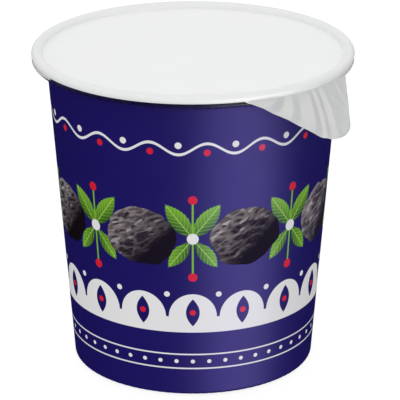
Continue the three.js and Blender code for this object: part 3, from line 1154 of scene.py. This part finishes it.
def make_prune_skin():
    material, bench, shader, place = new_finish("prune_skin")
    furrow = bench.stored("furrow")
    patches = bench.noise(place, 5 * MM, 4)
    pores = bench.noise(place, 0.7 * MM, 3)
    skin = bench.mix(patches, SKIN_BLACK, SKIN_BROWN)
    bloom = bench.mix(patches, BLOOM_THIN, BLOOM_THICK)
    look = {
        "Base Color": bench.mix(bench.clamped(furrow * 1.3 - 0.25), skin, bloom),
        "Roughness": 0.34 + 0.32 * bench.clamped(furrow),
        "Normal": bench.bump(pores, 0.05 * MM),
    }
    bench.feed(shader, look)
    return material


prune_skin = make_prune_skin()
print("nodes in the prune skin:", len(prune_skin.node_tree.nodes))

# %% [markdown]
# ## Prunes
#
# The prunes lie inside, and from below they can be seen through the clear base. The frame holds
# each one as a coarse, folded solid in the place where it settled. A tree makes the finished
# prune from it: subdivide, then press ridged noise in along the skin's own normals. The noise is
# drawn out along the prune's length, because the real wrinkles run from the stem to the tip.
# Pressing only inwards keeps each prune clear of its neighbours.

# %% Wrinkling tree
DRAWN_OUT = 0.62


def furrows(bench, vector, seed, rate, sharpness):
    """Ridged noise: 1 along thin lines, and 0 away from them."""
    inputs = {"Vector": vector, "W": seed, "Scale": rate, "Detail": 1.0}
    noise = bench.node("ShaderNodeTexNoise", {"noise_dimensions": "4D"}, inputs)
    return 1 - bench.clamped(abs(noise * 2 - 1) * sharpness)


def wrinkle_tree(material):
    sizes = ["Wrinkle size", "Depth", "Seed"]
    tree, bench, given = new_tree("wrinkled skin", ["Levels"], sizes, ["Long axis"])
    coarse, levels = given["Geometry"], given["Levels"]
    fine = bench.node("GeometryNodeSubdivisionSurface", None, {"Mesh": coarse, "Level": levels})
    position = bench.node("GeometryNodeInputPosition")
    axis = given["Long axis"]
    along = bench.node(
        "ShaderNodeVectorMath", {"operation": "DOT_PRODUCT"}, {0: position, 1: axis}, output="Value"
    )
    shift = bench.scaled(axis, along * -DRAWN_OUT)
    squeezed = bench.node("ShaderNodeVectorMath", {"operation": "ADD"}, {0: position, 1: shift})
    rate = 1 / given["Wrinkle size"]
    broad = furrows(bench, squeezed, given["Seed"], rate, sharpness=3.2)
    small = furrows(bench, position, given["Seed"] + 3, rate * 2.3, sharpness=3.6)
    depth = bench.clamped(broad * 0.75 + small * 0.35)
    stored = bench.node(
        "GeometryNodeStoreNamedAttribute",
        {"data_type": "FLOAT", "domain": "POINT"},
        {"Geometry": fine, "Name": "furrow", "Value": depth},
    )
    pressed = press_in(bench, stored, depth * given["Depth"])
    smooth = bench.node("GeometryNodeSetShadeSmooth", None, {"Geometry": pressed})
    end_tree(bench, smooth, material)
    return tree


wrinkles = wrinkle_tree(prune_skin)
print("nodes in the wrinkling tree:", len(wrinkles.nodes))

# %% [markdown]
# ## From coarse solid to finished prune
#
# A solid in the frame is loose triangles, and a subdivided loose triangle shrinks away from its
# neighbours. So the triangles are first joined into one skin. The direction in which a prune's
# points spread the most is its length. Eighteen prunes share one tree, each with its own seed.

# %% Prunes
def merged_copy(node_name, piece_name):
    """A copy of a frame node with its loose triangles joined into one skin."""
    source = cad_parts[node_name].data
    points = {}
    order = []
    faces = []
    for face in source.polygons:
        corners = []
        for vertex in face.vertices:
            spot = tuple(round(value, 7) for value in source.vertices[vertex].co)
            if spot not in points:
                points[spot] = len(order)
                order.append(spot)
            corners.append(points[spot])
        if len(set(corners)) == 3:
            faces.append(corners)
    return new_piece(piece_name, order, faces)


def long_axis(mesh):
    spots = np.array([vertex.co for vertex in mesh.vertices])
    spots = spots - spots.mean(0)
    values, vectors = np.linalg.eigh(spots.T @ spots)
    return vectors[:, np.argmax(values)]


prune_nodes = sorted(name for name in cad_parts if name.startswith("prune_"))
prunes = []
for number, node_name in enumerate(prune_nodes, 1):
    prune = merged_copy(node_name, f"dried_{node_name}")
    settings = {
        "Long axis": tuple(float(value) for value in long_axis(prune.data)),
        "Wrinkle size": 5.2 * MM,
        "Depth": 1.0 * MM,
        "Seed": number * 1.7,
        "Levels": 3,
    }
    run_tree(prune, wrinkles, settings)
    prunes.append(face_outwards(prune))
print("prunes:", len(prunes), "faces in one:", len(prunes[0].data.polygons))

# %% [markdown]
# ## Hang each piece on the body
#
# Every finished piece rides on the one rigid body, and the solid that it was made from is
# hidden, so that the piece stands in for it.

# %% Riding and replacing
def install(piece, node_name):
    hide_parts(node_name)
    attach(piece, "root")


install(cup, "cup")
install(sleeve, "sleeve")
install(foil, "lid_foil")
for prune, node_name in zip(prunes, prune_nodes):
    install(prune, node_name)
print("pieces that stand for solids:", 3 + len(prunes))

# %% [markdown]
# ## The table
#
# The cup stands on a white table that glows a little, like the lit acrylic tables that small
# goods are photographed on. The glow keeps the cup's shadow faint. The table catches that shadow
# and does nothing else: it throws no light on the cup and keeps none away, so the light can come
# evenly from all sides, also from below. Glossy surfaces don't see it either. In a studio, black
# cards beside the cup keep a printed film deep in colour up to its edges in the same way.

# %% Table
TABLE_HALF = 4.0
TABLE_GLOW = 0.86
TABLE_GREY = (0.19, 0.19, 0.19, 1)
TABLE_PALE = (0.21, 0.21, 0.21, 1)


def make_table_paint():
    material, bench, shader, place = new_finish("table_paint")
    clouds = bench.noise(place, 400 * MM, 3)
    look = {
        "Base Color": bench.mix(clouds, TABLE_GREY, TABLE_PALE),
        "Roughness": 0.9,
        "Specular IOR Level": 0.0,
        "Emission Color": (1, 1, 1, 1),
        "Emission Strength": TABLE_GLOW,
    }
    bench.feed(shader, look)
    return material


corners = [(-TABLE_HALF, -TABLE_HALF, 0), (TABLE_HALF, -TABLE_HALF, 0)]
corners += [(TABLE_HALF, TABLE_HALF, 0), (-TABLE_HALF, TABLE_HALF, 0)]
table = new_piece("table", corners, [(0, 1, 2, 3)])
table.data.materials.append(make_table_paint())
table.visible_glossy = False
table.visible_diffuse = False
table.visible_shadow = False
print("table, m across:", 2 * TABLE_HALF)

# %% [markdown]
# ## The light for the gloss
#
# The room, further down, lights all that is matt, so only gloss needs a lamp. One large panel at
# the front right gives the film its long, soft highlight. It reaches below the level of the
# table: the cup narrows downwards, so its wall leans out over the table and mirrors what lies
# below the horizon. Matt surfaces and the camera don't see the panel. Its place is given by its
# azimuth from the front towards the right, its elevation and its distance.

# %% Light panel
PANEL_AZIMUTH = math.radians(41)
PANEL_ELEVATION = math.radians(-17)
PANEL_DISTANCE = 1.4
PANEL_WIDTH = 1.5
PANEL_HEIGHT = 1.5
PANEL_WATTS = 38.0


def make_light_panel():
    level = math.cos(PANEL_ELEVATION)
    east = math.sin(PANEL_AZIMUTH) * level
    south = math.cos(PANEL_AZIMUTH) * level
    outwards = Vector((east, -south, math.sin(PANEL_ELEVATION)))
    data = bpy.data.lights.new("panel", "AREA")
    data.shape = "RECTANGLE"
    data.size = PANEL_WIDTH
    data.size_y = PANEL_HEIGHT
    data.energy = PANEL_WATTS
    light = bpy.data.objects.new("panel", data)
    scene.collection.objects.link(light)
    light.location = outwards * PANEL_DISTANCE + Vector((0, 0, CUP_HEIGHT / 2))
    light.rotation_mode = "QUATERNION"
    light.rotation_quaternion = (outwards * -1).to_track_quat("-Z", "Y")
    light.visible_camera = False
    light.visible_diffuse = False
    return light


panel = make_light_panel()
print("light panel at", [round(value, 2) for value in panel.location])

# %% [markdown]
# ## The room
#
# The world lights every matt surface, like a tent of white cloth: a formula of direction, with an
# even part, a part that grows overhead, and a soft pool of light on each side, of which the one
# behind the cup is the brightest. Gloss doesn't see the tent. On the film it would lay a grey
# veil over the navy.

# %% Room
SKY = 0.38
SKY_OVERHEAD = 0.66
POOLS = {
    # name: direction towards its middle, glow
    "front": ((0, -1), 1.18),
    "left": ((-1, 0), 0.45),
    "right": ((1, 0), 0.25),
    "back": ((0, 1), 2.73),
}


def make_room():
    world = bpy.data.worlds.new("room")
    world.use_nodes = True
    world.node_tree.nodes.clear()
    bench = Bench(world.node_tree)
    direction = bench.node("ShaderNodeTexCoord", output="Generated")
    x, y, z = bench.parts(direction)
    sky = SKY + bench.clamped(z) * SKY_OVERHEAD
    for (east, north), pool_glow in POOLS.values():
        towards = bench.clamped(x * east + y * north)
        sky = sky + bench.math("POWER", towards, 3.0) * pool_glow
    background = bench.node("ShaderNodeBackground", None, {"Color": (1, 1, 1, 1), "Strength": sky})
    output = world.node_tree.nodes.new("ShaderNodeOutputWorld")
    bench.feed(output, {"Surface": background})
    world.cycles_visibility.glossy = False
    return world


scene.world = make_room()
scene.view_settings.view_transform = "Standard"
print("pools of light:", ", ".join(POOLS))
